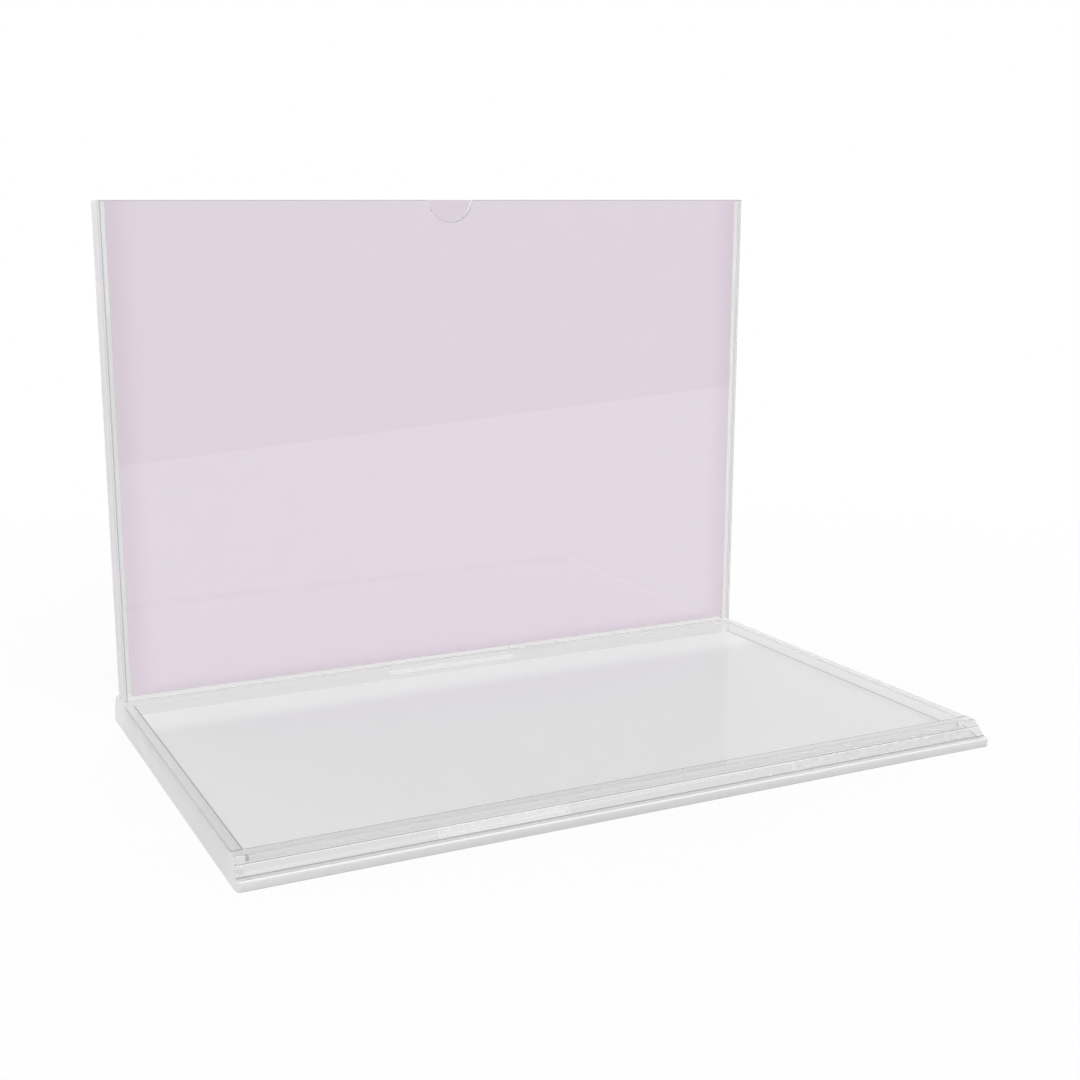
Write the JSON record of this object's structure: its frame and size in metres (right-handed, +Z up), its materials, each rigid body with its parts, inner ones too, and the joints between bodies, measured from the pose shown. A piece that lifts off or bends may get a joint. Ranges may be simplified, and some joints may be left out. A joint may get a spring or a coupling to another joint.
{
  "type": "card display stand",
  "caption": "Clear acrylic counter display stand: an upright pocket with a card and a thumb notch, tabbed into the back of a shallow tray with a lift-out floor panel.",
  "frame": {"origin": "middle of the footprint, on the surface the stand rests on", "axes": "+X to the right seen from the front, +Y from the front lip to the upright at the back, +Z up"},
  "size_m": [0.3094, 0.1924, 0.2159],
  "materials": {
    "clear_acrylic": "clear cast acrylic with polished edges",
    "floor_panel": "glossy white acrylic",
    "card": "smooth lilac card"
  },
  "bodies": {
    "tray": {"base_plate": "clear_acrylic", "front_rim": "clear_acrylic", "left_rim": "clear_acrylic", "right_rim": "clear_acrylic", "back_rim": "clear_acrylic"},
    "floor": {"floor_panel": "floor_panel"},
    "sign": {"sign_front_sheet": "clear_acrylic", "sign_back_sheet": "clear_acrylic", "sign_left_spacer": "clear_acrylic", "sign_right_spacer": "clear_acrylic", "sign_bottom_spacer": "clear_acrylic"},
    "card": {"sign_card": "card"}
  },
  "joints": [
    {"name": "sign_lift", "type": "slide", "parent": "tray", "child": "sign", "axis": [0, 0, 1], "range_m": [0, 0.03]},
    {"name": "card_slide", "type": "slide", "parent": "sign", "child": "card", "axis": [0, 0, 1], "range_m": [0, 0.2]},
    {"name": "floor_panel_lift", "type": "slide", "parent": "tray", "child": "floor", "axis": [0, 0, 1], "range_m": [0, 0.02]}
  ]
}
